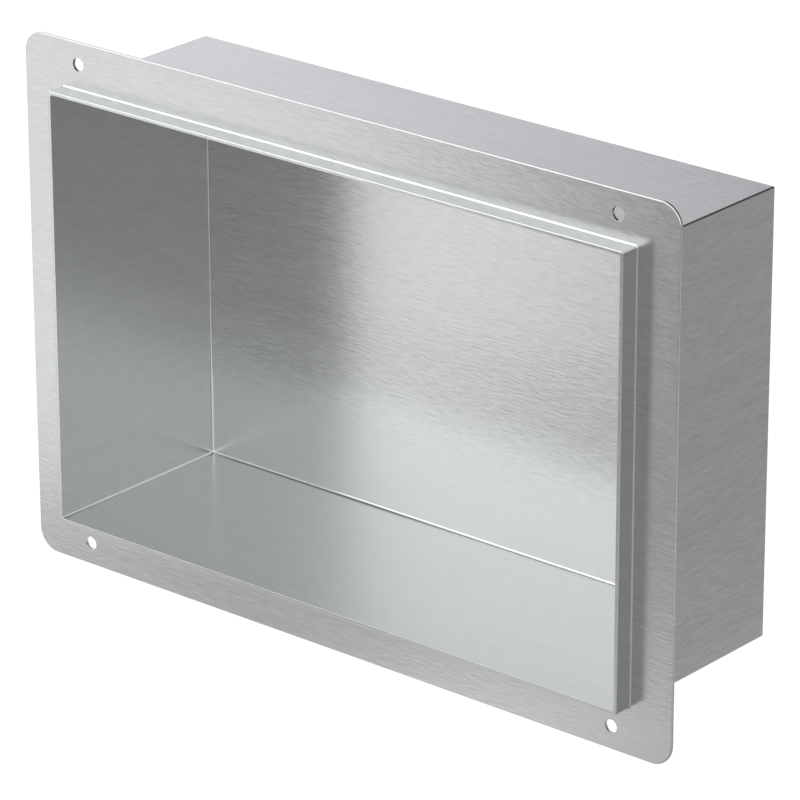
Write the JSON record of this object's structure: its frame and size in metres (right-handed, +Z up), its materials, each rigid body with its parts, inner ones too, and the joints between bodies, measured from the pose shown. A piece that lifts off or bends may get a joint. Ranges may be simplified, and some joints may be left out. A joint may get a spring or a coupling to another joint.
{
  "type": "shower niche insert",
  "caption": "Recessed shower niche of brushed stainless sheet: an open-front box with a projecting lip and a flat screw flange, let into a tiled wall to hold bottles and soap.",
  "frame": {"origin": "middle of the screw hole pattern, on the flange's back face, which lies against the wall", "axes": "+X to the right along the long side, +Y into the wall, +Z up; the niche opens towards -Y"},
  "size_m": [0.347, 0.0985, 0.238],
  "materials": {
    "tray_sheet": "fine linear brushed stainless steel",
    "flange_sheet": "fine linear brushed stainless steel, grain along the flange's length",
    "weld_metal": "weld dressed smooth and polished"
  },
  "bodies": {
    "root": {"niche_box": "tray_sheet", "mounting_flange": "flange_sheet", "weld_bead": "weld_metal"}
  },
  "joints": []
}
